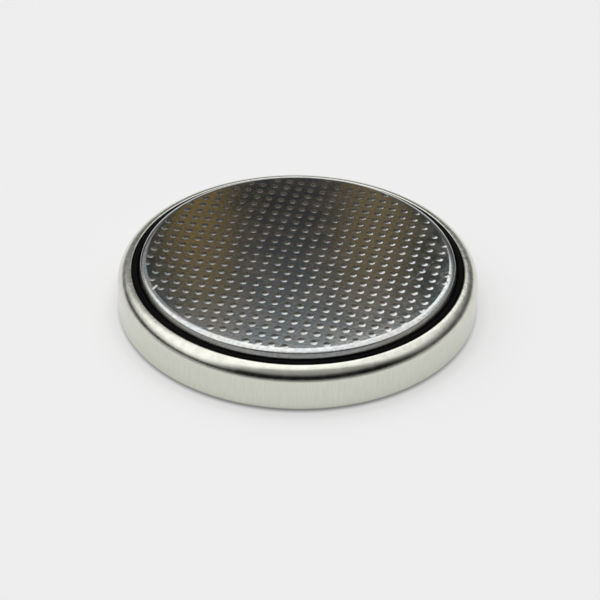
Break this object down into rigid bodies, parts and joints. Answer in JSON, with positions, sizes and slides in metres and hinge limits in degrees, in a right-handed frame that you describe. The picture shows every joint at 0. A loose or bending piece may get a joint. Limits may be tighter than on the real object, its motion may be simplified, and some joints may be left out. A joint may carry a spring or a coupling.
{
  "type": "lithium coin cell",
  "caption": "Round flat lithium coin cell: a crimped steel can, a black sealing gasket and a domed steel cap with small raised bumps, with electrodes sealed inside.",
  "frame": {"origin": "centre of the can's flat base, on the surface the cell rests on", "axes": "+Z along the cell's axis, from the can to the cap; the bump pattern is turned 13 degrees clockwise from +X, seen from above"},
  "size_m": [0.02, 0.02, 0.0032],
  "materials": {
    "can_steel": "satin nickel plate with fine vertical draw lines and a burnished crimp",
    "gasket_plastic": "black moulded plastic, slightly glossy",
    "cap_steel": "bright rolled steel, mirror-like, with a pattern of small raised bumps",
    "lithium_metal": "soft grey foil, dull",
    "separator_felt": "white non-woven fibre",
    "cathode_mix": "pressed black powder, matt",
    "collector_mesh": "plain steel mesh"
  },
  "bodies": {
    "root": {"positive_can": "can_steel", "gasket": "gasket_plastic", "negative_cap": "cap_steel", "lithium_anode": "lithium_metal", "separator": "separator_felt", "cathode_pellet": "cathode_mix", "cathode_collector": "collector_mesh"}
  },
  "joints": []
}
